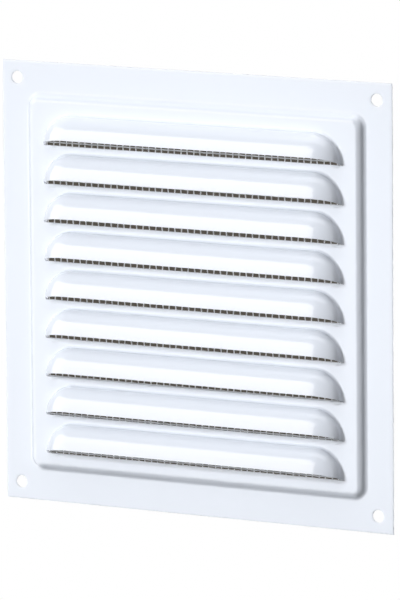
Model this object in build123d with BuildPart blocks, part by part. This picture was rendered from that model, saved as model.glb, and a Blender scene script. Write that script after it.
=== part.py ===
"""Fixed-louvre ventilation grille for a wall duct: one square plate pressed from a single
sheet, with nine hooded louvres, and a woven insect screen held behind it.

Frame: +Z up, the louvred front faces -Y, and the origin is the centre of the plate on the
wall plane, which is the back of its flat rim. All sizes are in millimetres.
"""

import os
from math import acos, cos, degrees, radians, sin, tan

from build123d import *

# Plate: a flat square rim round a raised panel
plate_width = 175.0
plate_height = 175.0
sheet = 0.7
side_rim_width = 11.5  # to the foot of the sloped step, before its bends are rounded
end_rim_width = 12.2
panel_corner = 0.65  # corner radius of the panel's flat top, inside its shoulder bend
panel_rise = 2.3
step_slope = 42.0
bend_share = 0.83  # share of the sloped length that its foot and shoulder bends take up
shoulder_share = 0.62  # the shoulder's share of that

# Screw holes, one near each corner of the rim
screw_hole_diameter = 5.0
screw_hole_inset = 6.7

# Louvres: each is cut along one straight line and pressed outwards above it
louvre_count = 9
louvre_side_margin = 8.4  # from the foot of the step to the ends of the louvres
louvre_end_margin = 7.4  # from the foot of the step to the first and last louvre
louvre_land = 2.1  # flat strip between one louvre's fold and the next one's cut
louvre_row_lift = 0.25  # middle of the row, above the middle of the plate
hood_depth = 7.0  # outside, in front of the panel
brow_radius = 4.1  # where a hood's front turns into its upper flank
brow_flats = 3  # short flats that stand for the brow's curve
fold_rise = 1.0  # flat that stands for the bend where a hood grows out of the panel
lip_rise = 3.0  # the lip stands this far above the cut, which leaves the slot

# Insect screen: a woven wire sheet behind the panel, shown as one wall with a row of gaps
# behind each louvre and its wires as ridges
wire_diameter = 0.45
wire_spacing_x = 2.9
wire_spacing_z = 3.01
screen_end_clearance = 0.8  # from the screen's top and bottom edges to the step's bend
gap_columns = 9

# Short runs of adhesive that hold the screen's left and right edges
runs_per_side = 4
run_width = 4.8
run_height = 1.3
run_taper = 40.0
run_side_clearance = 0.1  # from a run to the step's bend
run_end_clearance = 6.0  # from a run to the ends of its share of the screen's height

# Sizes that follow from those above
panel_width = plate_width - 2 * side_rim_width
panel_height = plate_height - 2 * end_rim_width
panel_front = sheet + panel_rise
half_slope_tan = tan(radians(step_slope) / 2)
step_run = panel_rise / tan(radians(step_slope))
bend_radii = bend_share * panel_rise / sin(radians(step_slope)) / half_slope_tan
shoulder_radius = shoulder_share * bend_radii  # on the front, as is the foot's
foot_radius = bend_radii - shoulder_radius
step_corner = panel_corner + step_run + shoulder_radius * half_slope_tan
back_foot_inset = sheet * half_slope_tan

louvre_length = panel_width - 2 * louvre_side_margin
louvre_row_height = panel_height - 2 * louvre_end_margin
louvre_pitch = (louvre_row_height + louvre_land) / louvre_count
louvre_height = louvre_pitch - louvre_land
hood_straight = louvre_length - 2 * louvre_height
first_cut = louvre_row_lift - louvre_row_height / 2
cut_heights = [first_cut + index * louvre_pitch for index in range(louvre_count)]

# A hood's front is an arc about a centre level with its cut, tangent to the brow
brow_height = louvre_height - fold_rise - brow_radius
brow_depth = hood_depth - fold_rise
front_radius = brow_height**2 + brow_depth**2 - brow_radius**2
front_radius /= 2 * (brow_depth - brow_radius)
brow_angle = acos(brow_height / (front_radius - brow_radius))

floor_inset = back_foot_inset + step_run + (shoulder_radius - sheet) * half_slope_tan
screen_side_clearance = run_width / 2 + run_side_clearance
screen_width = panel_width - 2 * (floor_inset + screen_side_clearance)
screen_height = panel_height - 2 * (floor_inset + screen_end_clearance)
screen_thickness = 2 * wire_diameter
column_pitch = (screen_width - wire_spacing_x) / gap_columns
gap_width = column_pitch - wire_spacing_x - wire_diameter
gap_height = louvre_pitch - wire_spacing_z - wire_diameter
run_pitch = screen_height / runs_per_side
run_length = run_pitch - 2 * run_end_clearance


def hood_section(x):
    """Section of a hood's sheet at x. The cut is its local origin, up is +X and out is +Y."""
    section_plane = Plane((x, -panel_front, 0), x_dir=(0, 0, 1), z_dir=(1, 0, 0))
    brow_turns = [brow_angle * step / brow_flats for step in range(brow_flats + 1)]
    brow = [
        (brow_height + brow_radius * cos(turn), fold_rise + brow_radius * sin(turn))
        for turn in brow_turns
    ]
    front_centre = (0, hood_depth - front_radius)
    brow_degrees = degrees(brow_angle)
    with BuildSketch(section_plane) as section:
        with BuildLine():
            Polyline((louvre_height + sheet, 0), (louvre_height, 0), *brow)
            CenterArc(front_centre, front_radius, brow_degrees, 90 - brow_degrees)
            offset(amount=sheet, side=Side.LEFT, kind=Kind.INTERSECTION)
        make_face()
    return section.sketch


# One pressed hood, on its own cut line: a straight length between two quarter-round ends,
# trimmed by a plane that leans back from the cut to the lip
left_end = hood_section(-hood_straight / 2)
right_end = hood_section(hood_straight / 2)
left_axis = Axis((-hood_straight / 2, -panel_front, 0), (0, -1, 0))
right_axis = Axis((hood_straight / 2, -panel_front, 0), (0, 1, 0))
lip_plane = Plane((0, -panel_front, 0), x_dir=(1, 0, 0), z_dir=(0, lip_rise, hood_depth))

with BuildPart() as hood:
    extrude(left_end, amount=hood_straight)
    revolve(left_end, axis=left_axis, revolution_arc=90)
    revolve(right_end, axis=right_axis, revolution_arc=90)
    split(bisect_by=lip_plane, keep=Keep.TOP)

# Outline of the hole that each hood leaves in the panel, on the same cut line
with BuildSketch() as hood_outline:
    with BuildLine():
        Line((-louvre_length / 2, 0), (louvre_length / 2, 0))
        CenterArc((hood_straight / 2, 0), louvre_height, 0, 90)
        Line((hood_straight / 2, louvre_height), (-hood_straight / 2, louvre_height))
        CenterArc((-hood_straight / 2, 0), louvre_height, 90, 90)
    make_face()

# Face plate, pressed as one piece: rim, raised panel that is hollow behind, and hoods
with BuildPart() as face_plate:
    with BuildSketch(Plane.XZ):
        Rectangle(plate_width, plate_height)
    extrude(amount=sheet)
    with BuildSketch(Plane.XZ.offset(sheet)):
        RectangleRounded(panel_width, panel_height, step_corner)
    extrude(amount=panel_rise, taper=90 - step_slope)
    rim_front = face_plate.faces().filter_by(Axis.Y).sort_by(Axis.Y)[1]
    fillet(rim_front.inner_wires()[0].edges(), foot_radius)
    fillet(face_plate.faces().sort_by(Axis.Y)[0].edges(), shoulder_radius)

    with BuildSketch(Plane.XZ):
        back_width = panel_width - 2 * back_foot_inset
        back_height = panel_height - 2 * back_foot_inset
        RectangleRounded(back_width, back_height, step_corner - back_foot_inset)
    extrude(amount=panel_rise, taper=90 - step_slope, mode=Mode.SUBTRACT)
    rim_back = face_plate.faces().filter_by(Axis.Y).sort_by(Axis.Y)[-1]
    fillet(rim_back.inner_wires()[0].edges(), foot_radius + sheet)
    recess_floor = face_plate.faces().filter_by(Axis.Y).sort_by(Axis.Y)[1]
    fillet(recess_floor.edges(), shoulder_radius - sheet)

    with BuildSketch(Plane.XZ.offset(panel_front)):
        with Locations(*[(0, height) for height in cut_heights]):
            add(hood_outline.sketch)
    extrude(amount=-sheet, mode=Mode.SUBTRACT)
    with Locations(*[(0, 0, height) for height in cut_heights]):
        add(hood.part)

    with BuildSketch(Plane.XZ):
        hole_spacing_x = plate_width - 2 * screw_hole_inset
        hole_spacing_z = plate_height - 2 * screw_hole_inset
        with GridLocations(hole_spacing_x, hole_spacing_z, 2, 2):
            Circle(screw_hole_diameter / 2)
    extrude(amount=sheet, mode=Mode.SUBTRACT)
face_plate.part.label = "face_plate"

# Insect screen: upright wires on its front and level wires on its back
ridge_rise = wire_diameter / 2
with BuildPart() as insect_screen:
    with BuildSketch(Plane.XZ.offset(panel_rise - ridge_rise)):
        Rectangle(screen_width, screen_height)
        with Locations((0, louvre_row_lift)):
            with GridLocations(column_pitch, louvre_pitch, gap_columns, louvre_count):
                Rectangle(gap_width, gap_height, mode=Mode.SUBTRACT)
    extrude(amount=-wire_diameter)
    with BuildSketch(Plane.XZ.offset(panel_rise)):
        with GridLocations(column_pitch, 0, gap_columns - 1, 1):
            with GridLocations(wire_spacing_x, 0, 2, 1):
                Rectangle(wire_diameter, screen_height)
        with GridLocations(screen_width - wire_diameter, 0, 2, 1):
            Rectangle(wire_diameter, screen_height)
    extrude(amount=-ridge_rise)
    with BuildSketch(Plane.XZ.offset(panel_rise - ridge_rise - wire_diameter)):
        with Locations((0, louvre_row_lift)):
            with GridLocations(0, louvre_pitch, 1, louvre_count - 1):
                with GridLocations(0, wire_spacing_z, 1, 2):
                    Rectangle(screen_width, wire_diameter)
        with GridLocations(0, screen_height - wire_diameter, 1, 2):
            Rectangle(screen_width, wire_diameter)
    extrude(amount=-ridge_rise)
insect_screen.part.label = "insect_screen"

# Adhesive runs: low mounds on the back of the panel, each half over the screen's edge
with BuildPart() as screen_adhesive:
    with BuildSketch(Plane.XZ.offset(panel_rise)):
        with GridLocations(screen_width, run_pitch, 2, runs_per_side):
            Rectangle(run_width, run_length)
    extrude(amount=-run_height, taper=run_taper)
    with BuildSketch(Plane.XZ.offset(panel_rise)):
        Rectangle(screen_width, screen_height)
    extrude(amount=-screen_thickness, mode=Mode.SUBTRACT)
screen_adhesive.part.label = "screen_adhesive"

os.makedirs("parts", exist_ok=True)
export_step(face_plate.part, "parts/face_plate.step")
export_step(insect_screen.part, "parts/insect_screen.step")
export_step(screen_adhesive.part, "parts/screen_adhesive.step")
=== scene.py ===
"""The looks of a fixed-louvre ventilation grille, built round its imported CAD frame.

One white plate is pressed from a single sheet: a flat rim, a raised panel and nine hooded
louvres. A woven wire screen lies behind the panel and is held by short runs of adhesive.
The frame is the CAD's own: +Z up, the louvred front faces -Y, and the wall plane is y = 0.
"""

from math import cos, pi, radians, sin, sqrt, tan

import bpy
import numpy as np
from bpy.props import FloatProperty, FloatVectorProperty, IntProperty, PointerProperty
from mathutils import Matrix, Vector
from mathutils.geometry import delaunay_2d_cdt


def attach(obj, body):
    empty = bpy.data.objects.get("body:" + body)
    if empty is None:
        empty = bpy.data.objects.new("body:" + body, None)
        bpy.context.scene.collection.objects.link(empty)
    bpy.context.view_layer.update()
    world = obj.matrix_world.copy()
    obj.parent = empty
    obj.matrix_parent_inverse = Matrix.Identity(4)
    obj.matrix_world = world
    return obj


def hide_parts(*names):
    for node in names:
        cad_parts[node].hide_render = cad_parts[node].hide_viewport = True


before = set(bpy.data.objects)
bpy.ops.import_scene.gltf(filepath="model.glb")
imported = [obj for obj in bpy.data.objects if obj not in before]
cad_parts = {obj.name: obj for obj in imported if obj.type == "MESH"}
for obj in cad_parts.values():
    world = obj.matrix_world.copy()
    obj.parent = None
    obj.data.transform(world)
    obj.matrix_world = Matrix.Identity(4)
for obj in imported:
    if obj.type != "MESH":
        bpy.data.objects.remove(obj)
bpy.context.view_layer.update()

bl_info = {
    "name": "Fixed-louvre ventilation grille",
    "version": (1, 0, 0),
    "blender": (4, 5, 0),
    "location": "View3D > Sidebar > Ventilation grille",
    "description": "Builds the grille's pressed plate, its insect screen and its stage",
    "category": "Object",
}


# Settings


def length(name, description, default):
    """A length in metres, shown with units."""
    return FloatProperty(
        name=name,
        description=description,
        default=default,
        min=0.0,
        precision=5,
        unit="LENGTH",
        subtype="DISTANCE",
    )


def angle(name, description, degrees):
    """An angle, kept in radians and shown in degrees."""
    return FloatProperty(
        name=name,
        description=description,
        default=radians(degrees),
        unit="ROTATION",
        subtype="ANGLE",
    )


def amount(name, description, default):
    """A plain factor, or the strength of a lamp."""
    return FloatProperty(name=name, description=description, default=default)


def linear(hex_colour):
    """sRGB hex to a linear RGBA tuple."""
    out = []
    for start in (1, 3, 5):
        c = int(hex_colour[start : start + 2], 16) / 255
        out.append(c / 12.92 if c <= 0.04045 else ((c + 0.055) / 1.055) ** 2.4)
    return (*out, 1.0)


def swatch(name, description, hex_colour):
    """A colour, kept linear and shown as a swatch."""
    return FloatVectorProperty(
        name=name,
        description=description,
        default=linear(hex_colour),
        size=4,
        min=0.0,
        max=1.0,
        subtype="COLOR",
    )


def count(name, description, default):
    """A whole number of at least one."""
    return IntProperty(name=name, description=description, default=default, min=1)


class PlateSettings(bpy.types.PropertyGroup):
    """Sizes and colour of the pressed plate."""

    width: length("Width", "Overall width of the plate", 0.175)
    height: length("Height", "Overall height of the plate", 0.175)
    sheet: length("Sheet", "Thickness of the sheet", 0.0007)
    edge_round: length("Edge rounding", "Rounding that the coating gives a cut edge", 0.0001)
    roll_width: length("Rollover width", "How far in from a cut edge the sheet bends", 0.0011)
    roll_depth: length("Rollover depth", "How far the tool bends a cut edge back", 0.00012)
    panel_width: length("Panel width", "Width at the foot of the step", 0.15108)
    panel_height: length("Panel height", "Height at the foot of the step", 0.14968)
    panel_corner: length("Panel corner", "Corner radius at the foot of the step", 0.0053)
    panel_rise: length("Panel rise", "How far the panel stands out of the rim", 0.0023)
    step_slope: angle("Step slope", "Slope of the step", 54.0)
    foot_radius: length("Foot bend", "Radius of the bend at the foot of the step", 0.00215)
    shoulder_radius: length("Shoulder bend", "Radius of the bend at its top", 0.0034)
    hole_diameter: length("Screw hole", "Diameter of each screw hole", 0.005)
    hole_inset: length("Hole inset", "From a hole's middle to the plate's edges", 0.0067)
    louvre_count: count("Louvres", "Number of louvres", 9)
    louvre_pitch: length("Louvre pitch", "From one cut to the next", 0.015322)
    louvre_length: length("Louvre length", "Length of each cut", 0.1352)
    louvre_height: length("Louvre height", "From a cut up to its fold", 0.013222)
    row_lift: length("Row lift", "Middle of the row above the plate's middle", 0.00025)
    hood_depth: length("Hood depth", "Depth of the hood's curve over its cut", 0.00694)
    fold_radius: length("Fold radius", "Bend where a hood leaves the panel", 0.001)
    lip_rise: length("Lip rise", "Height of the lip over the cut", 0.00275)
    top_lip_rise: length("Top lip rise", "The same for the top louvre, pressed wider", 0.0032)
    dimple_inset: length("Dimple inset", "From a cut's end to its dimple", 0.004)
    dimple_length: length("Dimple length", "Half length along the cut", 0.0028)
    dimple_height: length("Dimple height", "Half height across the cut", 0.0017)
    dimple_depth: length("Dimple depth", "How far the sheet is drawn in", 0.0003)
    coat: swatch("Coat", "Colour of the powder coat", "#E9ECF1")


class ScreenSettings(bpy.types.PropertyGroup):
    """Sizes and colour of the woven wire screen."""

    width: length("Width", "Width of the screen", 0.13835)
    height: length("Height", "Height of the screen", 0.14035)
    middle: length("Middle plane", "Distance of the weave in front of the wall", 0.0018)
    wire: length("Wire", "Wire diameter, coating included", 0.0005)
    spacing_x: length("Upright spacing", "From one upright wire to the next", 0.0029)
    spacing_z: length("Level spacing", "From one level wire to the next", 0.003004)
    first_upright: length("First upright", "Gap left of the first upright wire", 0.0024)
    first_level: length("First level", "Gap below the first level wire", 0.00288)
    wander: length("Wander", "How far a wire strays from its line", 0.00012)
    seed: IntProperty(name="Seed", description="Seed of the wander", default=7)
    coat: swatch("Coat", "Colour of the wires' coating", "#E9EAEA")


class AdhesiveSettings(bpy.types.PropertyGroup):
    """Sizes and colour of the adhesive runs."""

    runs_per_side: count("Runs", "Runs on each side of the screen", 4)
    pitch: length("Pitch", "From one run to the next", 0.03509)
    run_length: length("Length", "Length of each run", 0.0231)
    run_width: length("Width", "Width of each run at the panel", 0.0046)
    run_height: length("Height", "Height of each run behind the panel", 0.00122)
    seed: IntProperty(name="Seed", description="Seed of the runs' uneven outline", default=3)
    colour: swatch("Colour", "Colour of the cured adhesive", "#E4DFCF")


class StageSettings(bpy.types.PropertyGroup):
    """Camera and light."""

    azimuth: angle("Azimuth", "Camera turned to the viewer's right of the front", 30.44)
    elevation: angle("Elevation", "Camera above the grille's middle", 8.78)
    roll: angle("Roll", "Camera turned about its own axis", -0.44)
    distance: length("Distance", "Camera from the point it looks at", 2.7163)
    lens: amount("Focal length", "Focal length in millimetres", 418.6)
    key: amount("Key", "Radiance of the soft box that the hoods mirror", 4.35)
    table: amount("Table", "Radiance of the white sheet that the flats mirror", 4.35)
    front: amount("Front", "Light on the panel from the front left", 0.79)
    near: amount("Near", "Light from a near lamp on the right", 0.12)
    top: amount("Top", "Radiance of the soft light overhead", 2.2)
    edge: amount("Edge", "Radiance of the light behind that catches the cut edges", 5.0)
    surround: amount("Surround", "Grey of the room that lights the shade", 0.02)


# Small helpers


def add_node(tree, kind, inputs=(), **settings):
    """Adds one node to a shader or geometry tree, with its settings, values and links.

    A node given as a value stands for its first output, and a list for several links.
    """
    node = tree.nodes.new(kind)
    for name, value in settings.items():
        setattr(node, name, value)
    for key, value in dict(inputs).items():
        for source in value if isinstance(value, list) else [value]:
            if isinstance(source, bpy.types.Node):
                source = source.outputs[0]
            if isinstance(source, bpy.types.NodeSocket):
                tree.links.new(source, node.inputs[key])
            else:
                node.inputs[key].default_value = source
    return node


def copies(tree, instance, number, start, step, chosen=True):
    """Instances in a straight row, at the places that are chosen."""
    inputs = {"Count": number, "Start Location": start, "Offset": step}
    line = add_node(tree, "GeometryNodeMeshLine", inputs, mode="OFFSET")
    inputs = {"Points": line, "Selection": chosen, "Instance": instance}
    return add_node(tree, "GeometryNodeInstanceOnPoints", inputs)


def geometry_tree(name, sockets):
    """A geometry node group with a geometry output and these named inputs."""
    tree = bpy.data.node_groups.new(name, "GeometryNodeTree")
    tree.interface.new_socket("Geometry", in_out="OUTPUT", socket_type="NodeSocketGeometry")
    for label, kind in sockets:
        tree.interface.new_socket(label, in_out="INPUT", socket_type="NodeSocket" + kind)
    return tree, tree.nodes.new("NodeGroupInput").outputs


def close_tree(tree, geometry, material):
    """Ends a tree in Realize Instances and Set Material."""
    realized = add_node(tree, "GeometryNodeRealizeInstances", {"Geometry": geometry})
    inputs = {"Geometry": realized, "Material": material}
    painted = add_node(tree, "GeometryNodeSetMaterial", inputs)
    add_node(tree, "NodeGroupOutput", {0: painted})


def new_object(name, mesh):
    """Links a mesh to the scene as an object at the origin."""
    obj = bpy.data.objects.new(name, mesh)
    bpy.context.scene.collection.objects.link(obj)
    return obj


def bake(name, source, tree, values):
    """Runs a geometry tree on an object and keeps the result as a plain mesh."""
    modifier = source.modifiers.new(tree.name, "NODES")
    modifier.node_group = tree
    for item in tree.interface.items_tree:
        if item.in_out == "INPUT" and item.name in values:
            modifier[item.identifier] = values[item.name]
    bpy.context.view_layer.update()
    depsgraph = bpy.context.evaluated_depsgraph_get()
    mesh = bpy.data.meshes.new_from_object(source.evaluated_get(depsgraph))
    source.modifiers.remove(modifier)
    bpy.data.objects.remove(source)
    mesh.name = name
    return mesh


# Materials


def new_material(name, colour, roughness):
    """A material with only its output and one Principled BSDF."""
    material = bpy.data.materials.new(name)
    material.use_nodes = True
    tree = material.node_tree
    tree.nodes.clear()
    inputs = {"Base Color": colour, "Roughness": roughness}
    shader = add_node(tree, "ShaderNodeBsdfPrincipled", inputs)
    add_node(tree, "ShaderNodeOutputMaterial", {"Surface": shader})
    return material, tree, shader


def powder_coat(colour):
    """White polyester powder coat, sprayed and baked on the pressed steel sheet."""
    # The eye sees a plain white with a bright, fairly crisp gloss
    name = "white_powder_coat_on_pressed_steel"
    material, tree, shader = new_material(name, colour, 0.08)
    shader.inputs["IOR"].default_value = 1.5
    # Orange peel: cells of 1.2 mm, a micron high, only just in sight
    cell, peel = 0.0012, 0.0000012
    place = add_node(tree, "ShaderNodeTexCoord").outputs["Object"]
    noise = add_node(tree, "ShaderNodeTexNoise", {"Vector": place, "Scale": 1 / cell})
    inputs = {"Height": noise, "Strength": 1.0, "Distance": peel}
    bump = add_node(tree, "ShaderNodeBump", inputs)
    tree.links.new(bump.outputs[0], shader.inputs["Normal"])
    return material


def coated_wire(colour):
    """Steel wire, woven and then coated white."""
    # The eye sees a pale, even wire with a dull shine along its crests
    return new_material("white_coated_steel_wire", colour, 0.35)[0]


def adhesive(colour):
    """Hot-melt adhesive, laid molten and left to cure."""
    # The eye sees a cloudy, waxy off-white that light enters a little way
    material, _, shader = new_material("cured_hot_melt_adhesive", colour, 0.45)
    shader.inputs["Subsurface Weight"].default_value = 0.4
    shader.inputs["Subsurface Radius"].default_value = (0.001, 0.0009, 0.0007)
    return material


# Face plate

HOOD_ROWS = 40  # rows of points from a hood's foot to its lip
END_STEPS = 30  # columns over each quarter-round end of a hood
HALF_STEPS = 8  # columns over half of its straight length
FOLD_SHARE = 0.25  # share of a hood's rows that its fold takes
CORNER_STEPS = 12  # steps round each corner of the panel
FOOT_STEPS, SHOULDER_STEPS = 8, 12
ROLL_STEPS = 5
HOLE_STEPS = 48
BISECTIONS = 40  # that find where the lip's plane meets a hood
DIMPLE_MARGIN = 0.0002  # fine points of a cut reach this far past its dimples
FINE_POINTS, COARSE_POINTS = 28, 15  # along a cut, at a dimple and between the two
DIMPLE_COLUMNS, DIMPLE_ROWS = 19, 9
TOLERANCE = 1e-7  # of the triangles that fill the flats, in metres
WELD = 1e-6  # points nearer than this are one, in metres
COLLAPSE = 2e-7  # the same where the ends of a slot run together
LEAST_SPREAD = 0.5  # below this, an edge's corner is too sharp for a miter
LEAST_OUTWARD = 0.1  # below this, its two sides' directions cancel out


class Sheet:
    """The front surface of the sheet: points, their normals and thinning, and faces."""

    def __init__(self):
        self.points = []
        self.normals = []
        self.thinning = []
        self.faces = []

    def add(self, x, z, rise, normal, thinning=0.0):
        """Adds the point that stands this far out of the wall plane."""
        self.points.append((x, -rise, z))
        self.normals.append(normal)
        self.thinning.append(thinning)
        return len(self.points) - 1

    def grid(self, rows):
        """Joins rows of equal length by quads."""
        for low, high in zip(rows, rows[1:]):
            for i in range(len(low) - 1):
                self.faces.append((low[i], low[i + 1], high[i + 1], high[i]))

    def fill(self, loops, extra, keep):
        """Fills the flat area inside the loops with triangles whose middle keep() accepts."""
        ids = [index for loop in loops for index in loop] + list(extra)
        edges = []
        start = 0
        for loop in loops:
            n = len(loop)
            edges += [(start + i, start + (i + 1) % n) for i in range(n)]
            start += n
        flat = [Vector((self.points[i][0], self.points[i][2])) for i in ids]
        found, _, triangles, origin, _, _ = delaunay_2d_cdt(flat, edges, [], 0, TOLERANCE)
        for triangle in triangles:
            x = sum(found[i][0] for i in triangle) / 3
            z = sum(found[i][1] for i in triangle) / 3
            if keep(x, z):
                self.faces.append(tuple(ids[origin[i][0]] for i in triangle))

    def mesh(self, name):
        """The surface as a mesh that carries its normals and thinning in attributes."""
        mesh = bpy.data.meshes.new(name)
        mesh.from_pydata(self.points, [], self.faces)
        carried = mesh.attributes.new("sheet_normal", "FLOAT_VECTOR", "POINT")
        carried.data.foreach_set("vector", np.array(self.normals, np.float32).ravel())
        thin = mesh.attributes.new("thinning", "FLOAT", "POINT")
        thin.data.foreach_set("value", np.array(self.thinning, np.float32))
        return mesh


def rounded_loop(half_width, half_height, radius):
    """Points of a rounded rectangle, with the outward direction at each."""
    loop = []
    for quarter, (sx, sz) in enumerate(((1, 1), (-1, 1), (-1, -1), (1, -1))):
        cx, cz = sx * (half_width - radius), sz * (half_height - radius)
        for step in range(CORNER_STEPS + 1):
            turn = pi / 2 * (quarter + step / CORNER_STEPS)
            out = (cos(turn), sin(turn))
            loop.append((cx + radius * out[0], cz + radius * out[1], out))
    return loop


def hood_point(s, w):
    """A point of the hood's front surface: radius from its middle line, height, normal.

    w runs from 0 at the foot, over the fold's bend up to FOLD_SHARE, and then over a
    quarter ellipse to 1 on the middle line.
    """
    f = s.fold_radius
    if w < FOLD_SHARE:
        turn = pi / 2 * w / FOLD_SHARE
        radius = s.louvre_height - f * sin(turn)
        return radius, f * (1 - cos(turn)), (sin(turn), cos(turn))
    turn = pi / 2 * (w - FOLD_SHARE) / (1 - FOLD_SHARE)
    a, b = s.louvre_height - f, s.hood_depth - f
    normal = (cos(turn) / a, sin(turn) / b)
    size = sqrt(normal[0] ** 2 + normal[1] ** 2)
    return a * cos(turn), f + b * sin(turn), (normal[0] / size, normal[1] / size)


def hood_stations(s):
    """Middle point and outward direction of each station round a hood, from tip to tip."""
    half = s.louvre_length / 2 - s.louvre_height
    # Closer together near the tips, where the lip comes down to the cut
    turns = [pi / 2 * (i / END_STEPS) ** 1.5 for i in range(END_STEPS + 1)]
    left = [(-half, (-cos(t), sin(t))) for t in turns]
    inner = range(1 - HALF_STEPS, HALF_STEPS)
    middle = [(half * x / HALF_STEPS, (0.0, 1.0)) for x in inner]
    right = [(half, (cos(t), sin(t))) for t in reversed(turns)]
    return left + middle + right


def lip_limit(s, lip_rise, lift):
    """How far up the section a station reaches before the lip's leaning plane cuts it."""
    low, high = 0.0, 1.0
    for _ in range(BISECTIONS):
        w = (low + high) / 2
        radius, height, _ = hood_point(s, w)
        if radius * lift > height * lip_rise / s.hood_depth:
            low = w
        else:
            high = w
    return low


def hood_sheet(s, lip_rise):
    """Front surface of one hood, with its cut at z = 0."""
    sheet = Sheet()
    columns = []
    base = s.sheet + s.panel_rise
    for middle, (dx, dz) in hood_stations(s):
        limit = lip_limit(s, lip_rise, dz)
        column = []
        for row in range(HOOD_ROWS + 1):
            radius, height, (out, up) = hood_point(s, limit * row / HOOD_ROWS)
            normal = (out * dx, -up, out * dz)
            column.append(sheet.add(middle + radius * dx, radius * dz, base + height, normal))
        columns.append(column)
    sheet.grid(list(zip(*columns)))
    return sheet


def dimple(s, x, z):
    """Depth and slopes of the dimples that the press leaves under the ends of a cut."""
    middle = s.louvre_length / 2 - s.dimple_inset
    side = 1 if x > 0 else -1
    u = (x - side * middle) / s.dimple_length
    v = z / s.dimple_height
    r2 = u * u + v * v
    if r2 >= 1 or z > 0:
        return 0.0, 0.0, 0.0
    depth = s.dimple_depth * (1 - r2) ** 2
    slope = -4 * s.dimple_depth * (1 - r2)
    return depth, slope * u / s.dimple_length, slope * v / s.dimple_height


def panel_point(sheet, s, x, z, cut):
    """Adds a point of the flat panel, drawn in where it falls in a dimple."""
    depth, slope_x, slope_z = dimple(s, x, z - cut)
    size = sqrt(1 + slope_x**2 + slope_z**2)
    normal = (-slope_x / size, -1 / size, -slope_z / size)
    return sheet.add(x, z, s.sheet + s.panel_rise - depth, normal)


def louvre_loop(sheet, s, cut):
    """Outline of one louvre's opening, and loose points that shape its two dimples."""
    loop = []
    for middle, (dx, dz) in hood_stations(s):
        x, z = middle + s.louvre_height * dx, s.louvre_height * dz
        loop.append(sheet.add(x, cut + z, s.sheet + s.panel_rise, (0.0, -1.0, 0.0)))
    end = s.louvre_length / 2
    dimple_start = end - s.dimple_inset - s.dimple_length - DIMPLE_MARGIN
    fine = list(np.linspace(end, dimple_start, FINE_POINTS)[1:])
    coarse = list(np.linspace(dimple_start, -dimple_start, COARSE_POINTS)[1:-1])
    for x in fine + coarse + [-x for x in reversed(fine)]:
        loop.append(panel_point(sheet, s, x, cut, cut))
    loose = []
    for side in (-1, 1):
        middle = side * (end - s.dimple_inset)
        for u in np.linspace(-1, 1, DIMPLE_COLUMNS):
            for v in np.linspace(-1, 0, DIMPLE_ROWS)[:-1]:
                x, z = middle + u * s.dimple_length, v * s.dimple_height
                # Up to a little past the dimple's outline
                if u * u + v * v < 1.1:
                    loose.append(panel_point(sheet, s, x, cut + z, cut))
    return loop, loose


def step_profile(s):
    """Inset, height and normal of each line round the step, from its foot to its top."""
    slope = s.step_slope
    run = s.panel_rise / tan(slope)
    foot, top = s.foot_radius, s.shoulder_radius
    lines = []
    for step in range(FOOT_STEPS + 1):
        turn = slope * step / FOOT_STEPS
        inset = foot * (sin(turn) - tan(slope / 2))
        lines.append((inset, foot * (1 - cos(turn)), (sin(turn), cos(turn))))
    for step in range(SHOULDER_STEPS + 1):
        turn = slope * (1 - step / SHOULDER_STEPS)
        inset = run + top * (tan(slope / 2) - sin(turn))
        height = s.panel_rise - top * (1 - cos(turn))
        lines.append((inset, height, (sin(turn), cos(turn))))
    return lines


def rolled_edge(sheet, s, path):
    """Loops from the flat to a cut edge, which the blanking tool bends back.

    path() gives the loop's points at an inset from the edge, each with the direction
    that leaves the sheet.
    """
    loops = []
    for step in range(ROLL_STEPS + 1):
        t = step / ROLL_STEPS
        drop = s.roll_depth * t * t
        slope = 2 * s.roll_depth * t / s.roll_width
        size = sqrt(1 + slope * slope)
        loop = []
        for x, z, (dx, dz) in path(s.roll_width * (1 - t)):
            normal = (dx * slope / size, -1 / size, dz * slope / size)
            loop.append(sheet.add(x, z, s.sheet - drop, normal, drop))
        loops.append(loop)
    sheet.grid([loop + loop[:1] for loop in loops])
    return loops[0]


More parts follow.
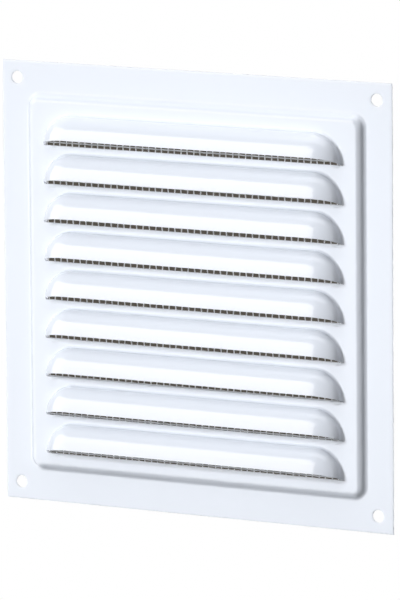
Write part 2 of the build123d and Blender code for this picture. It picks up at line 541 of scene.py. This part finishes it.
def plate_sheet(s):
    """Front surface of the rim, the step and the panel, without the hoods."""
    sheet = Sheet()
    half_w, half_h = s.panel_width / 2, s.panel_height / 2

    loops = []
    for inset, height, (out, up) in step_profile(s):
        corner = s.panel_corner - inset
        loop = []
        for x, z, (dx, dz) in rounded_loop(half_w - inset, half_h - inset, corner):
            loop.append(sheet.add(x, z, s.sheet + height, (out * dx, -up, out * dz)))
        loops.append(loop)
    sheet.grid([loop + loop[:1] for loop in loops])

    first = s.row_lift - ((s.louvre_count - 1) * s.louvre_pitch + s.louvre_height) / 2
    cuts = [first + i * s.louvre_pitch for i in range(s.louvre_count)]
    openings, loose = [], []
    for cut in cuts:
        loop, points = louvre_loop(sheet, s, cut)
        openings.append(loop)
        loose += points

    def on_panel(x, z):
        nearest = min(cuts, key=lambda cut: abs(z - cut - s.louvre_height / 2))
        side = max(0.0, abs(x) - (s.louvre_length / 2 - s.louvre_height))
        above = z - nearest
        return above < 0 or side**2 + above**2 > s.louvre_height**2

    sheet.fill([loops[-1]] + openings, loose, on_panel)

    corners = ((1, 1), (-1, 1), (-1, -1), (1, -1))
    sides = ((1, 0), (0, 1), (-1, 0), (0, -1))

    def outline(inset):
        points = []
        for k, (a, b) in enumerate(corners):
            x, z = a * (s.width / 2 - inset), b * (s.height / 2 - inset)
            first, second = sides[k], sides[(k + 1) % 4]
            near = s.roll_width
            points.append((x - near * second[0], z - near * second[1], first))
            points.append((x, z, (a / sqrt(2), b / sqrt(2))))
            points.append((x - near * first[0], z - near * first[1], second))
        return points

    def hole_outline(cx, cz):
        def outline_at(inset):
            size = s.hole_diameter / 2 + inset
            turns = [2 * pi * i / HOLE_STEPS for i in range(HOLE_STEPS)]
            return [
                (cx + size * cos(t), cz + size * sin(t), (-cos(t), -sin(t))) for t in turns
            ]

        return outline_at

    edge = rolled_edge(sheet, s, outline)
    centres = [
        (a * (s.width / 2 - s.hole_inset), b * (s.height / 2 - s.hole_inset))
        for a, b in corners
    ]
    holes = [rolled_edge(sheet, s, hole_outline(x, z)) for x, z in centres]
    radius = s.hole_diameter / 2 + s.roll_width
    foot_inset = -s.foot_radius * tan(s.step_slope / 2)
    inner_w, inner_h = half_w - foot_inset, half_h - foot_inset
    corner = s.panel_corner - foot_inset

    def on_rim(x, z):
        if any((x - a) ** 2 + (z - b) ** 2 < radius**2 for a, b in centres):
            return False
        dx = max(0.0, abs(x) - (inner_w - corner))
        dz = max(0.0, abs(z) - (inner_h - corner))
        return dx**2 + dz**2 > corner**2

    sheet.fill([edge, loops[0]] + holes, [], on_rim)
    return sheet, first


def louvre_row_tree():
    """Geometry tree that sets one hood over every cut and welds the row to the panel."""
    tree, given = geometry_tree(
        "Row of pressed louvres",
        (
            ("Panel", "Geometry"),
            ("Hood", "Object"),
            ("Top Hood", "Object"),
            ("Count", "Int"),
            ("Pitch", "Float"),
            ("First Cut", "Float"),
            ("Weld Distance", "Float"),
            ("Material", "Material"),
        ),
    )
    start = add_node(tree, "ShaderNodeCombineXYZ", {"Z": given["First Cut"]})
    step = add_node(tree, "ShaderNodeCombineXYZ", {"Z": given["Pitch"]})
    index = add_node(tree, "GeometryNodeInputIndex")
    number = add_node(tree, "ShaderNodeMath", {0: index, 1: 1.0}, operation="ADD")
    pieces = [given["Panel"]]
    for name, test in (("Hood", "LESS_THAN"), ("Top Hood", "COMPARE")):
        hood = add_node(tree, "GeometryNodeObjectInfo", {"Object": given[name]})
        inputs = {0: number, 1: given["Count"]}
        chosen = add_node(tree, "ShaderNodeMath", inputs, operation=test)
        row = copies(tree, hood.outputs["Geometry"], given["Count"], start, step, chosen)
        pieces.append(add_node(tree, "GeometryNodeRealizeInstances", {"Geometry": row}))
    joined = add_node(tree, "GeometryNodeJoinGeometry", {0: pieces})
    inputs = {"Geometry": joined, "Distance": given["Weld Distance"]}
    welded = add_node(tree, "GeometryNodeMergeByDistance", inputs)
    close_tree(tree, welded, given["Material"])
    return tree


def read_vectors(data, key, number):
    """Vectors of a mesh's points as an array with a row for each."""
    values = np.empty(number * 3)
    data.foreach_get(key, values)
    return values.reshape(number, 3)


def front_faces(front, normals):
    """Faces as lists of corners, all turned to the side that the normals point to."""
    faces = []
    for polygon in front.polygons:
        corners = list(polygon.vertices)
        if np.dot(polygon.normal, normals[corners].mean(axis=0)) < 0:
            corners.reverse()
        faces.append(corners)
    return faces


def sheet_edges(points, through, faces):
    """Edges of the sheet, and the directions that leave it at each of their points."""
    # A face's edge that no other face runs the opposite way is an edge of the sheet
    directed = {(a, b) for face in faces for a, b in zip(face, face[1:] + face[:1])}
    border = [(a, b) for a, b in directed if (b, a) not in directed]
    outwards = {}
    for a, b in border:
        along = points[b] - points[a]
        along /= np.linalg.norm(along)
        for i in (a, b):
            out = np.cross(along, through[i])
            outwards.setdefault(i, []).append(out / np.linalg.norm(out))
    return border, outwards


def edge_miters(outwards, rounding):
    """Mitered direction that leaves the sheet at each edge point, and its rounding."""
    miter = np.zeros((len(outwards), 3))
    inset = np.zeros(len(outwards))
    for k, index in enumerate(sorted(outwards)):
        outs = outwards[index]
        total = sum(outs)
        spread = 1 + float(np.dot(outs[0], outs[-1]))
        if len(outs) == 2 and spread > LEAST_SPREAD:
            miter[k] = total / spread
            inset[k] = rounding
        else:
            size = np.linalg.norm(total)
            miter[k] = total / size if size > LEAST_OUTWARD else outs[0]
    return miter, inset[:, None]


def welded_mesh(name, points, normals, faces):
    """A smooth mesh without what the sharp ends of the slots collapse."""
    seen, remap = {}, np.empty(len(points), np.int64)
    for i, key in enumerate(map(tuple, np.round(points / COLLAPSE).astype(np.int64))):
        remap[i] = seen.setdefault(key, i)
    kept = []
    for face in faces:
        ring = []
        for i in face:
            j = int(remap[i])
            if not ring or ring[-1] != j:
                ring.append(j)
        if len(ring) > 1 and ring[0] == ring[-1]:
            ring.pop()
        if len(ring) > 2 and len(set(ring)) == len(ring):
            kept.append(ring)
    used = sorted({i for face in kept for i in face})
    place = {index: k for k, index in enumerate(used)}
    mesh = bpy.data.meshes.new(name)
    mesh.from_pydata(points[used].tolist(), [], [[place[i] for i in face] for face in kept])
    mesh.shade_smooth()
    mesh.normals_split_custom_set_from_vertices(normals[used].tolist())
    return mesh


def close_sheet(name, front, thickness, rounding):
    """Gives the front surface its thickness, with coated, slightly rounded edges."""
    n = len(front.vertices)
    points = read_vectors(front.vertices, "co", n)
    normals = read_vectors(front.attributes["sheet_normal"].data, "vector", n)
    normals /= np.linalg.norm(normals, axis=1)[:, None]
    thinning = np.empty(n)
    front.attributes["thinning"].data.foreach_get("value", thinning)
    thinning = thinning[:, None]
    thick = thickness - thinning
    # The back stays flat behind a rolled edge
    through = np.where(thinning > 0, np.array((0.0, -1.0, 0.0)), normals)
    faces = front_faces(front, normals)
    border, outwards = sheet_edges(points, through, faces)
    miter, inset = edge_miters(outwards, rounding)

    edge_ids = sorted(outwards)
    slot = {index: k for k, index in enumerate(edge_ids)}
    at, up = points[edge_ids], through[edge_ids]
    front_points = points.copy()
    front_points[edge_ids] = at - inset * miter
    back_points = points - thick * through
    back_points[edge_ids] -= inset * miter

    # Four rings of points take each edge round from the front to the back
    unit = miter / np.linalg.norm(miter, axis=1)[:, None]
    rings = []
    for turn, deep in ((pi / 4, False), (pi / 2, False), (pi / 2, True), (pi / 4, True)):
        out = miter * (inset * (sin(turn) - 1))
        drop = inset * (1 - cos(turn))
        if deep:
            place = at + out - up * (thick[edge_ids] - drop)
            facing = unit * sin(turn) - up * cos(turn)
        else:
            place = at + out - up * drop
            facing = unit * sin(turn) + normals[edge_ids] * cos(turn)
        rings.append((place, facing))

    all_points = np.vstack([front_points, back_points] + [place for place, _ in rings])
    all_normals = np.vstack([normals, -through] + [facing for _, facing in rings])
    all_faces = faces + [[i + n for i in reversed(face)] for face in faces]
    starts = [2 * n + ring * len(edge_ids) for ring in range(len(rings))]
    for a, b in border:
        left = [a] + [start + slot[a] for start in starts] + [a + n]
        right = [b] + [start + slot[b] for start in starts] + [b + n]
        for i in range(len(left) - 1):
            all_faces.append([right[i], left[i], left[i + 1], right[i + 1]])
    return welded_mesh(name, all_points, all_normals, all_faces)


def build_face_plate(s):
    """Builds the pressed plate and puts it in the CAD plate's place."""
    sheet, first = plate_sheet(s)
    panel = new_object("panel surface", sheet.mesh("panel surface"))
    hoods = [
        new_object(name, hood_sheet(s, rise).mesh(name))
        for name, rise in (("hood", s.lip_rise), ("top hood", s.top_lip_rise))
    ]
    coat = powder_coat(s.coat)
    front = bake(
        "plate front",
        panel,
        louvre_row_tree(),
        {
            "Hood": hoods[0],
            "Top Hood": hoods[1],
            "Count": s.louvre_count,
            "Pitch": s.louvre_pitch,
            "First Cut": first,
            "Weld Distance": WELD,
            "Material": coat,
        },
    )
    for hood in hoods:
        bpy.data.objects.remove(hood)
    mesh = close_sheet("pressed_plate", front, s.sheet, s.edge_round)
    mesh.materials.append(coat)
    plate = new_object("pressed_plate", mesh)
    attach(plate, "root")
    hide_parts("face_plate")


# Insect screen


WIRE_SIDES = 6
POINTS_PER_CELL = 3.0  # along a wire, from one crossing to the next
WANDER_SCALE = 90.0  # of the noise by which wires stray, for each metre
WANDER_APART = 40.0  # keeps the level wires' noise apart from the uprights'
# Each set's direction of spacing, the size that it fills and its name
WEAVE = (("X", "Width", "Upright"), ("Z", "Height", "Level"))


def wires(tree, given, upright):
    """One set of parallel wires, which bend over and under the other set."""
    sets = WEAVE if upright else WEAVE[::-1]
    (across, width, this), (along, run, other) = sets
    spacing, phase = given[this + " Spacing"], given["First " + this]
    math = "ShaderNodeMath"

    # One straight wire, with a few points for each cell of the weave
    inputs = {0: given[run], 1: given[other + " Spacing"]}
    points = add_node(tree, math, inputs, operation="DIVIDE")
    for operation, value in (("MULTIPLY", POINTS_PER_CELL), ("ROUND", 0.0), ("ADD", 1.0)):
        points = add_node(tree, math, {0: points, 1: value}, operation=operation)
    ends = []
    for share in (-0.5, 0.5):
        place = add_node(tree, math, {0: given[run], 1: share}, operation="MULTIPLY")
        ends.append(add_node(tree, "ShaderNodeCombineXYZ", {along: place}))
    inputs = {"Start": ends[0], "End": ends[1]}
    line = add_node(tree, "GeometryNodeCurvePrimitiveLine", inputs)
    curve = add_node(tree, "GeometryNodeResampleCurve", {"Curve": line, "Count": points})

    # As many of them as the screen has room for
    inputs = {0: given[width], 1: given["Wire"]}
    room = add_node(tree, math, inputs, operation="SUBTRACT")
    low = add_node(tree, math, {0: room, 1: -0.5}, operation="MULTIPLY")
    first = add_node(tree, math, {0: low, 1: phase}, operation="ADD")
    number = room
    for operation, value in (
        ("SUBTRACT", phase),
        ("DIVIDE", spacing),
        ("FLOOR", 0.0),
        ("ADD", 1.0),
    ):
        number = add_node(tree, math, {0: number, 1: value}, operation=operation)
    start = add_node(tree, "ShaderNodeCombineXYZ", {across: first})
    step = add_node(tree, "ShaderNodeCombineXYZ", {across: spacing})
    row = copies(tree, curve, number, start, step)
    real = add_node(tree, "GeometryNodeRealizeInstances", {"Geometry": row})

    # The weave: half waves whose crests meet at the crossings
    position = add_node(tree, "GeometryNodeInputPosition")
    axes = add_node(tree, "ShaderNodeSeparateXYZ", {"Vector": position})
    half_wire = add_node(tree, math, {0: given["Wire"], 1: 0.5}, operation="MULTIPLY")
    waves = []
    for axis, size, name in WEAVE:
        low = add_node(tree, math, {0: given[size], 1: -0.5}, operation="MULTIPLY")
        low = add_node(tree, math, {0: low, 1: given["First " + name]}, operation="ADD")
        wave = axes.outputs[axis]
        for operation, value in (
            ("SUBTRACT", low),
            ("SUBTRACT", half_wire),
            ("DIVIDE", given[name + " Spacing"]),
            ("MULTIPLY", pi),
            ("COSINE", 0.0),
        ):
            wave = add_node(tree, math, {0: wave, 1: value}, operation=operation)
        waves.append(wave)
    height = add_node(tree, math, {0: waves[0], 1: waves[1]}, operation="MULTIPLY")
    for value in (half_wire, 1.0 if upright else -1.0):
        height = add_node(tree, math, {0: height, 1: value}, operation="MULTIPLY")

    # How far each wire strays sideways
    apart = 0.0 if upright else WANDER_APART
    seed = add_node(tree, math, {0: given["Seed"], 1: apart}, operation="ADD")
    inputs = {"Vector": position, "W": seed, "Scale": WANDER_SCALE, "Detail": 1.0}
    noise = add_node(tree, "ShaderNodeTexNoise", inputs, noise_dimensions="4D")
    sway = add_node(tree, math, {0: noise, 1: 0.5}, operation="SUBTRACT")
    for value in (2.0, given["Wander"]):
        sway = add_node(tree, math, {0: sway, 1: value}, operation="MULTIPLY")
    move = add_node(tree, "ShaderNodeCombineXYZ", {across: sway, "Y": height})
    bent = add_node(tree, "GeometryNodeSetPosition", {"Geometry": real, "Offset": move})
    inputs = {"Resolution": WIRE_SIDES, "Radius": half_wire}
    circle = add_node(tree, "GeometryNodeCurvePrimitiveCircle", inputs)
    inputs = {"Curve": bent, "Profile Curve": circle, "Fill Caps": True}
    return add_node(tree, "GeometryNodeCurveToMesh", inputs)


def weave_tree():
    """Geometry tree of the woven screen."""
    tree, given = geometry_tree(
        "Woven wire screen",
        (
            ("Base", "Geometry"),
            ("Width", "Float"),
            ("Height", "Float"),
            ("Middle Plane", "Float"),
            ("Wire", "Float"),
            ("Upright Spacing", "Float"),
            ("Level Spacing", "Float"),
            ("First Upright", "Float"),
            ("First Level", "Float"),
            ("Wander", "Float"),
            ("Seed", "Int"),
            ("Material", "Material"),
        ),
    )
    sets = [wires(tree, given, upright) for upright in (True, False)]
    joined = add_node(tree, "GeometryNodeJoinGeometry", {0: sets})
    inputs = {0: given["Middle Plane"], 1: -1.0}
    depth = add_node(tree, "ShaderNodeMath", inputs, operation="MULTIPLY")
    shift = add_node(tree, "ShaderNodeCombineXYZ", {"Y": depth})
    inputs = {"Geometry": joined, "Translation": shift}
    placed = add_node(tree, "GeometryNodeTransform", inputs)
    smooth = add_node(tree, "GeometryNodeSetShadeSmooth", {"Geometry": placed})
    close_tree(tree, smooth, given["Material"])
    return tree


def build_insect_screen(s):
    """Builds the woven screen behind the panel."""
    base = new_object("screen base", bpy.data.meshes.new("screen base"))
    mesh = bake(
        "woven_screen",
        base,
        weave_tree(),
        {
            "Width": s.width,
            "Height": s.height,
            "Middle Plane": s.middle,
            "Wire": s.wire,
            "Upright Spacing": s.spacing_x,
            "Level Spacing": s.spacing_z,
            "First Upright": s.first_upright,
            "First Level": s.first_level,
            "Wander": s.wander,
            "Seed": s.seed,
            "Material": coated_wire(s.coat),
        },
    )
    screen = new_object("woven_screen", mesh)
    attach(screen, "root")
    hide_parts("insect_screen")


# Adhesive


def run_mesh(s):
    """One run of adhesive: a low mound with a wavy outline, flat against the panel."""
    along, around, waves = 40, 12, 8
    lumps = np.random.default_rng(s.seed).uniform(-1, 1, waves)
    # Its width and height wander along it, and come to nothing at both ends
    points, rings = [], []
    for i in range(along + 1):
        t = -1 + 2 * i / along
        wave = sum(lumps[k] * sin((k + 1.5) * 2.1 * t + k) for k in range(waves)) / waves
        end = max(0.0, 1 - abs(t) ** 6) ** 0.5
        half = s.run_width / 2 * end * (0.86 + 0.28 * wave)
        high = s.run_height * end * (0.82 + 0.3 * wave)
        ring = []
        for j in range(around + 1):
            turn = pi * j / around
            ring.append(len(points))
            points.append((half * cos(turn), high * sin(turn) ** 0.8, t * s.run_length / 2))
        rings.append(ring)
    faces = []
    for low, high in zip(rings, rings[1:]):
        for j in range(around):
            faces.append((low[j], low[j + 1], high[j + 1], high[j]))
        faces.append((low[-1], low[0], high[0], high[-1]))
    mesh = bpy.data.meshes.new("adhesive run")
    mesh.from_pydata(points, [], faces)
    return mesh


def runs_tree():
    """Geometry tree that lays the runs down both sides of the screen."""
    tree, given = geometry_tree(
        "Runs of adhesive",
        (
            ("Run", "Geometry"),
            ("Runs Per Side", "Int"),
            ("Pitch", "Float"),
            ("Side Spacing", "Float"),
            ("Panel Back", "Float"),
            ("Weld Distance", "Float"),
            ("Material", "Material"),
        ),
    )
    inputs = {"Geometry": given["Run"], "Distance": given["Weld Distance"]}
    welded = add_node(tree, "GeometryNodeMergeByDistance", inputs)
    smooth = add_node(tree, "GeometryNodeSetShadeSmooth", {"Geometry": welded})
    low = given["Runs Per Side"]
    for operation, value in (
        ("SUBTRACT", 1.0),
        ("MULTIPLY", given["Pitch"]),
        ("MULTIPLY", -0.5),
    ):
        low = add_node(tree, "ShaderNodeMath", {0: low, 1: value}, operation=operation)
    step = add_node(tree, "ShaderNodeCombineXYZ", {"Z": given["Pitch"]})
    rows = []
    for side in (-0.5, 0.5):
        inputs = {0: given["Side Spacing"], 1: side}
        across = add_node(tree, "ShaderNodeMath", inputs, operation="MULTIPLY")
        inputs = {"X": across, "Y": given["Panel Back"], "Z": low}
        start = add_node(tree, "ShaderNodeCombineXYZ", inputs)
        rows.append(copies(tree, smooth, given["Runs Per Side"], start, step))
    joined = add_node(tree, "GeometryNodeJoinGeometry", {0: rows})
    close_tree(tree, joined, given["Material"])
    return tree


def build_screen_adhesive(s, plate, screen):
    """Builds the runs of adhesive along the screen's side edges."""
    base = new_object("adhesive base", run_mesh(s))
    mesh = bake(
        "adhesive_runs",
        base,
        runs_tree(),
        {
            "Runs Per Side": s.runs_per_side,
            "Pitch": s.pitch,
            "Side Spacing": screen.width,
            "Panel Back": -plate.panel_rise,
            "Weld Distance": WELD,
            "Material": adhesive(s.colour),
        },
    )
    runs = new_object("adhesive_runs", mesh)
    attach(runs, "root")
    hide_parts("screen_adhesive")


# Stage


LAMP_DISTANCE = 4.0  # of the soft boxes and the flag, from the grille
FLAG_HALF_WIDTH = 2.8
FLOOR_HALF_WIDTH = 0.7
FLOOR_LEVEL = -0.8
CARD_DISTANCE = 0.0006  # behind the wall plane
TARGET = Vector((0.00187, -0.0007, -0.00206))  # the point that the camera looks at


def direction(azimuth, elevation):
    """Unit vector towards a place given by its angles, 0 being the front."""
    across = cos(elevation)
    return Vector((sin(azimuth) * across, -cos(azimuth) * across, sin(elevation)))


def area_light(name, place, width, height, energy, colour, mirrored, lights=True):
    """A rectangular lamp at a place, turned to the origin, mirrored or not, lighting or not."""
    light = bpy.data.lights.new(name, "AREA")
    light.shape = "RECTANGLE"
    light.size, light.size_y = width, height
    light.energy = energy
    light.color = linear(colour)[:3]
    lamp = bpy.data.objects.new(name, light)
    lamp.location = place
    lamp.rotation_euler = place.to_track_quat("Z", "Y").to_euler()
    lamp.visible_camera = False
    lamp.visible_glossy = mirrored
    lamp.visible_diffuse = lights
    bpy.context.scene.collection.objects.link(lamp)


def soft_box(name, angles, radiance, colour, lights=True):
    """A soft box that glossy surfaces mirror.

    The angles are its azimuth, elevation, width and height in degrees.
    """
    azimuth, elevation, width, height = map(radians, angles)
    size_x = 2 * LAMP_DISTANCE * tan(width / 2)
    size_y = 2 * LAMP_DISTANCE * tan(height / 2)
    energy = radiance * pi * size_x * size_y
    place = direction(azimuth, elevation) * LAMP_DISTANCE
    area_light(name, place, size_x, size_y, energy, colour, True, lights)


def fill(name, place, size, brightness, colour):
    """A lamp that mirrors nowhere and makes a white sheet facing it this bright."""
    energy = brightness * pi * place.length_squared * pi
    area_light(name, place, size, size, energy, colour, False)


def board(name, corners, material):
    """A flat, four-cornered piece of the stage."""
    mesh = bpy.data.meshes.new(name)
    mesh.from_pydata(corners, [], [(0, 1, 2, 3)])
    mesh.materials.append(material)
    return new_object(name, mesh)


def square(half, level):
    """Corners of a level square."""
    return [(half * a, half * b, level) for a, b in ((-1, -1), (1, -1), (1, 1), (-1, 1))]


def painted_shade_card(s):
    """Painted shade: a card just behind the plate that glows dark only for the camera in front
    of it, so the holes of the mesh show dark, standing in for the shade behind the mesh.
    """
    width, height = s.panel_width / 2, s.panel_height / 2
    corners = [(width * a, CARD_DISTANCE, height * b) for a, b, _ in square(1, 0)]
    material = bpy.data.materials.new("painted_shade_backing_card")
    material.use_nodes = True
    tree = material.node_tree
    tree.nodes.clear()
    path = add_node(tree, "ShaderNodeLightPath")
    side = add_node(tree, "ShaderNodeNewGeometry")
    inputs = {0: 1.0, 1: side.outputs["Backfacing"]}
    front = add_node(tree, "ShaderNodeMath", inputs, operation="SUBTRACT")
    inputs = {0: path.outputs["Is Camera Ray"], 1: front}
    seen = add_node(tree, "ShaderNodeMath", inputs, operation="MULTIPLY")
    clear = add_node(tree, "ShaderNodeBsdfTransparent")
    # Painted shade: a dark glow that only camera rays meeting the front see; every other ray
    # passes through
    dark = add_node(tree, "ShaderNodeEmission", {"Color": linear("#55504A")})
    mixed = add_node(tree, "ShaderNodeMixShader", {0: seen, 1: clear, 2: dark})
    add_node(tree, "ShaderNodeOutputMaterial", {"Surface": mixed})
    card = board("dark card", corners, material)


def black_flag():
    """A black board on the right that keeps the white room out of the plate's gloss."""
    material = new_material("black_studio_board", linear("#101010"), 0.9)[0]
    flag = board("black flag", square(FLAG_HALF_WIDTH, 0.0), material)
    flag.location = direction(radians(88), radians(5)) * LAMP_DISTANCE
    flag.rotation_euler = flag.location.to_track_quat("Z", "Y").to_euler()
    flag.visible_camera = False


def pale_floor():
    """A plain pale floor."""
    material = new_material("plain_pale_floor", linear("#F4F5F6"), 0.9)[0]
    floor = board("floor", square(FLOOR_HALF_WIDTH, FLOOR_LEVEL), material)


def add_camera(s):
    """The camera, in the place that the photograph was taken from."""
    scene = bpy.context.scene
    camera = bpy.data.objects.new("camera", bpy.data.cameras.new("camera"))
    scene.collection.objects.link(camera)
    scene.camera = camera
    camera.data.lens = s.lens
    camera.data.sensor_width = 36.0
    camera.data.clip_start = 0.1
    camera.data.clip_end = 50.0
    back = direction(s.azimuth, s.elevation)
    right = Vector((cos(s.azimuth), sin(s.azimuth), 0))
    up = back.cross(right)
    x_axis = right * cos(s.roll) + up * sin(s.roll)
    y_axis = up * cos(s.roll) - right * sin(s.roll)
    turn = Matrix((x_axis, y_axis, back)).transposed().to_4x4()
    camera.matrix_world = Matrix.Translation(TARGET + back * s.distance) @ turn


def white_surround(strength):
    """A world that looks white, also in gloss and glass, and lights only this much."""
    world = bpy.data.worlds.new("white surround")
    bpy.context.scene.world = world
    world.use_nodes = True
    tree = world.node_tree
    tree.nodes.clear()
    path = add_node(tree, "ShaderNodeLightPath")
    shown = path.outputs["Is Camera Ray"]
    for name in ("Is Glossy Ray", "Is Transmission Ray"):
        inputs = {0: shown, 1: path.outputs[name]}
        shown = add_node(tree, "ShaderNodeMath", inputs, operation="MAXIMUM")
    inputs = {"Color": linear("#FFFDFA"), "Strength": strength}
    room = add_node(tree, "ShaderNodeBackground", inputs)
    inputs = {"Color": linear("#FFFFFF"), "Strength": 1.0}
    white = add_node(tree, "ShaderNodeBackground", inputs)
    mixed = add_node(tree, "ShaderNodeMixShader", {0: shown, 1: room, 2: white})
    add_node(tree, "ShaderNodeOutputWorld", {"Surface": mixed})


def build_stage(s, plate):
    """Builds the camera, the lamps, the surround, the floor, a card of painted shade behind the
    mesh and a black flag.
    """
    add_camera(s)
    soft_box("key", (-42.5, 12.5, 55, 33), s.key, "#FFF8EE", lights=False)
    soft_box("table", (-42.5, -32, 75, 55), s.table, "#FAFCFF", lights=False)
    soft_box("top", (-8, 72, 50, 50), s.top, "#F8FAFF")
    soft_box("edge", (147, 0, 30, 50), s.edge, "#FFFFFF")
    fill("front", direction(radians(-37), radians(22)) * 3.0, 0.7, s.front, "#F5F9FF")
    fill("near", Vector((0.05, -0.17, 0.02)), 0.06, s.near, "#F5F8FF")
    white_surround(s.surround)
    pale_floor()
    # Painted shade behind the mesh, from a dark glowing card
    painted_shade_card(plate)
    black_flag()
    bpy.context.scene.view_settings.view_transform = "Standard"


# Operators and panel


class GRILLE_OT_face_plate(bpy.types.Operator):
    """Build the pressed plate with its louvres"""

    bl_idname = "grille.face_plate"
    bl_label = "Face plate"

    def execute(self, context):
        build_face_plate(context.scene.grille_plate)
        return {"FINISHED"}


class GRILLE_OT_insect_screen(bpy.types.Operator):
    """Build the woven wire screen behind the panel"""

    bl_idname = "grille.insect_screen"
    bl_label = "Insect screen"

    def execute(self, context):
        build_insect_screen(context.scene.grille_screen)
        return {"FINISHED"}


class GRILLE_OT_screen_adhesive(bpy.types.Operator):
    """Build the runs of adhesive that hold the screen"""

    bl_idname = "grille.screen_adhesive"
    bl_label = "Screen adhesive"

    def execute(self, context):
        scene = context.scene
        build_screen_adhesive(scene.grille_adhesive, scene.grille_plate, scene.grille_screen)
        return {"FINISHED"}


class GRILLE_OT_stage(bpy.types.Operator):
    """Build the camera, the lights and the floor"""

    bl_idname = "grille.stage"
    bl_label = "Stage"

    def execute(self, context):
        scene = context.scene
        build_stage(scene.grille_stage, scene.grille_plate)
        return {"FINISHED"}


OPERATORS = (
    GRILLE_OT_face_plate,
    GRILLE_OT_insect_screen,
    GRILLE_OT_screen_adhesive,
    GRILLE_OT_stage,
)


class GRILLE_PT_panel(bpy.types.Panel):
    """Steps that build the grille"""

    bl_idname = "GRILLE_PT_panel"
    bl_label = "Ventilation grille"
    bl_space_type = "VIEW_3D"
    bl_region_type = "UI"
    bl_category = "Ventilation grille"

    def draw(self, context):
        for operator in OPERATORS:
            self.layout.operator(operator.bl_idname)


SETTINGS = {
    "grille_plate": PlateSettings,
    "grille_screen": ScreenSettings,
    "grille_adhesive": AdhesiveSettings,
    "grille_stage": StageSettings,
}
CLASSES = (*SETTINGS.values(), *OPERATORS, GRILLE_PT_panel)


def register():
    """Registers the classes and gives the scene its settings."""
    for item in CLASSES:
        bpy.utils.register_class(item)
    for name, group in SETTINGS.items():
        setattr(bpy.types.Scene, name, PointerProperty(type=group))


def unregister():
    """Takes back what register() did."""
    for name in SETTINGS:
        delattr(bpy.types.Scene, name)
    for item in reversed(CLASSES):
        bpy.utils.unregister_class(item)


def main():
    register()
    bpy.ops.grille.face_plate()
    bpy.ops.grille.insect_screen()
    bpy.ops.grille.screen_adhesive()
    bpy.ops.grille.stage()


if __name__ == "__main__":
    main()
